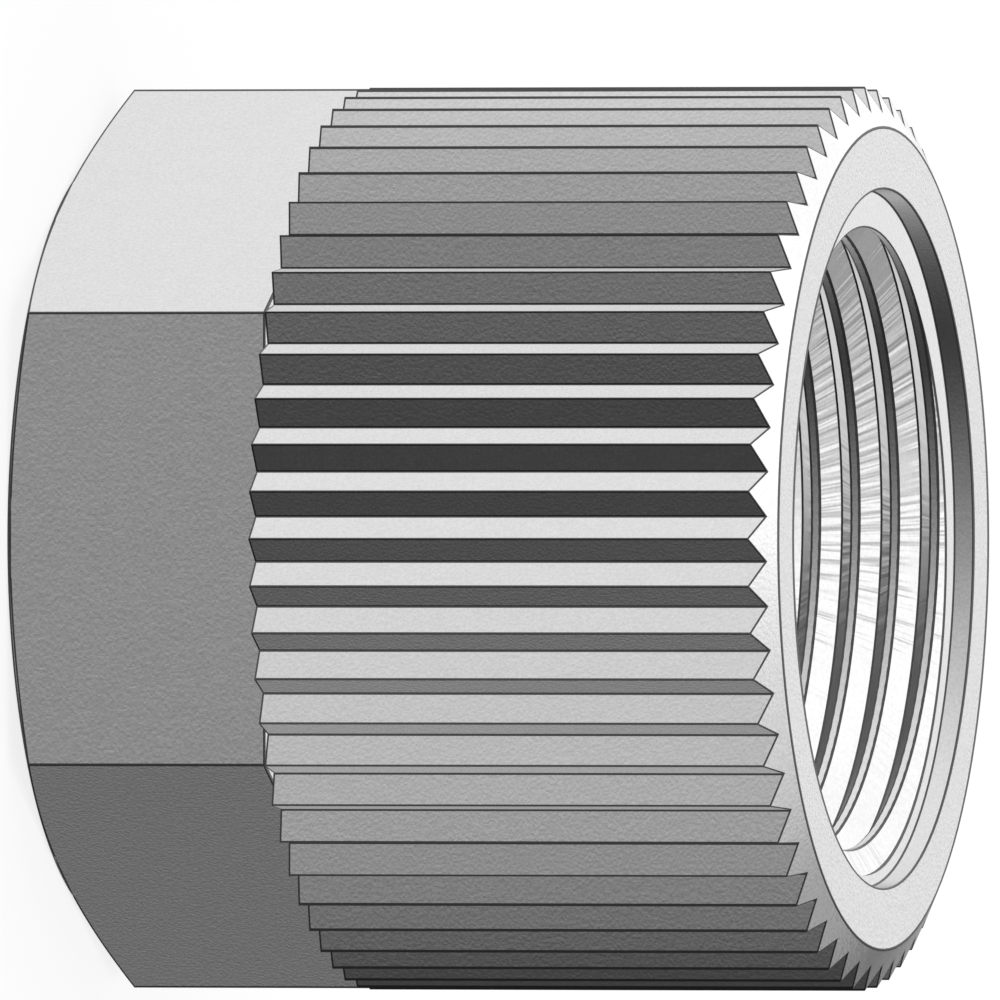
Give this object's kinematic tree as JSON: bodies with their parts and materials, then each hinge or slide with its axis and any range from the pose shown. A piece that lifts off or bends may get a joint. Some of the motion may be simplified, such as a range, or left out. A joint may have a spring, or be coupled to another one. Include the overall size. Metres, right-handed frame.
{
  "type": "union nut",
  "caption": "Union nut with a hexagon at the tube end, a straight-knurled barrel and a fine internal thread at the mouth, for holding a tube in a screw fitting.",
  "frame": {"origin": "centre of the hexagon's end face, where the tube enters", "axes": "+Z along the nut's axis, from the hexagon's end face to the threaded mouth; two corners of the hexagon lie on the X axis and two of its flats face +Y and -Y"},
  "size_m": [0.022, 0.022, 0.0195],
  "materials": {
    "satin_steel": "fine matt-satin turned metal, neutral grey"
  },
  "bodies": {
    "root": {"union_nut": "satin_steel"}
  },
  "joints": []
}
